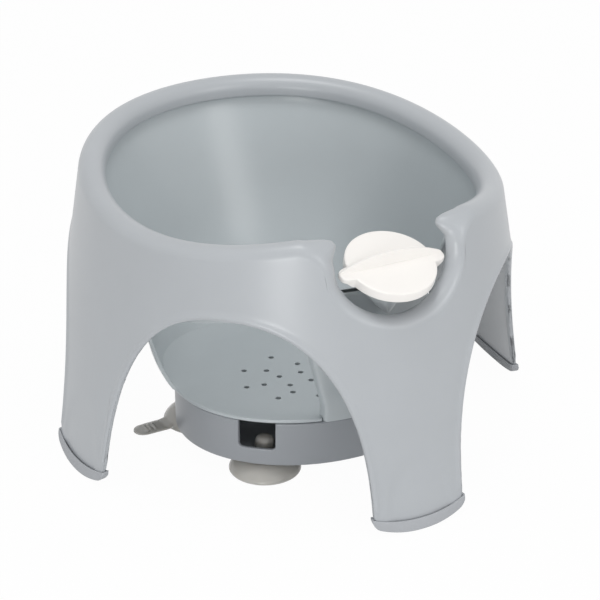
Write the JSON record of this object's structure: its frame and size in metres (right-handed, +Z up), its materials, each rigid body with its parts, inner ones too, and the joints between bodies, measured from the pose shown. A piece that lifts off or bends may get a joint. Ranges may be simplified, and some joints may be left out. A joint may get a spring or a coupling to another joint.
{
  "type": "baby bath seat",
  "caption": "Round ring seat on arched legs for holding a small child in a bath, with a liner, a low base on suction cups and a lift-out front post.",
  "frame": {"origin": "on the floor under the middle of the shell, level with the undersides of the foot pads", "axes": "+Z up; -Y towards the front, where the notch, post and knob are; +X towards the right of someone facing the seat from the front"},
  "size_m": [0.3504, 0.3784, 0.2045],
  "materials": {
    "shell_plastic": "smooth light grey polypropylene",
    "bucket_plastic": "smooth light grey polypropylene",
    "pad_rubber": "matte grey soft plastic",
    "base_plastic": "smooth grey polypropylene",
    "cup_rubber": "milky soft plastic",
    "knob_plastic": "warm white satin plastic",
    "steel": "stainless screws"
  },
  "bodies": {
    "seat": {"outer_shell": "shell_plastic", "seat_bucket": "bucket_plastic", "front_foot_pad": "pad_rubber", "right_foot_pad": "pad_rubber", "rear_foot_pad": "pad_rubber", "left_foot_pad": "pad_rubber", "seat_base": "base_plastic", "base_plate": "base_plastic", "suction_cup_front_left": "cup_rubber", "suction_cup_front_right": "cup_rubber", "suction_cup_rear_left": "cup_rubber", "suction_cup_rear_right": "cup_rubber", "base_screw_front_left": "steel", "base_screw_front_right": "steel", "base_screw_rear_left": "steel", "base_screw_rear_right": "steel", "rim_screw_right": "steel", "rim_screw_rear": "steel", "rim_screw_left": "steel"},
    "post": {"front_post": "bucket_plastic", "post_back_cover": "bucket_plastic", "post_screw_low": "steel", "post_screw_high": "steel"},
    "knob": {"lock_knob": "knob_plastic", "knob_washer": "steel", "knob_screw": "steel"}
  },
  "joints": [
    {"name": "post_lift", "type": "slide", "parent": "seat", "child": "post", "axis": [0, 0, 1], "range_m": [0, 0.045]},
    {"name": "knob_turn", "type": "hinge", "parent": "post", "child": "knob", "pos_m": [0, -0.138, 0.171], "axis": [0, -0.3256, 0.9455], "range_deg": [0, 90]}
  ]
}
